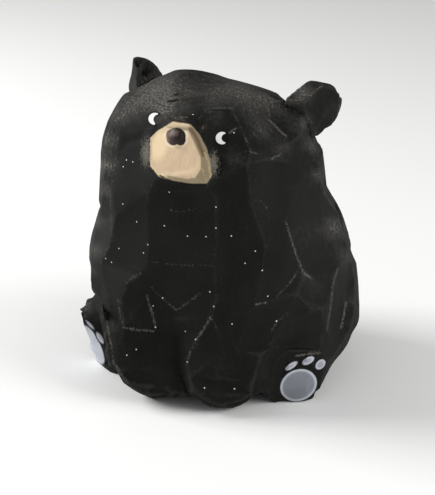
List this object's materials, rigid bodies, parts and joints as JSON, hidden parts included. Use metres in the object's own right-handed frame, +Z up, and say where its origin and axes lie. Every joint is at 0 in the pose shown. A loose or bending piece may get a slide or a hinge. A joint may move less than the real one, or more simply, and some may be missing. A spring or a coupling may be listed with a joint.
{
  "type": "carved wooden bear figurine",
  "caption": "Seated bear carved with flat knife cuts from a block of wood, painted black, with a bare wood muzzle and painted paw pads.",
  "frame": {"origin": "on the standing surface, below the middle of the bear's outline", "axes": "+Z up, the bear looks along -Y, and its own left side is +X"},
  "size_m": [0.0782, 0.076, 0.0901],
  "materials": {
    "painted_wood": "matt black paint over knife cuts, worn to the grey wood along the edges"
  },
  "bodies": {
    "root": {"bear": "painted_wood"}
  },
  "joints": []
}
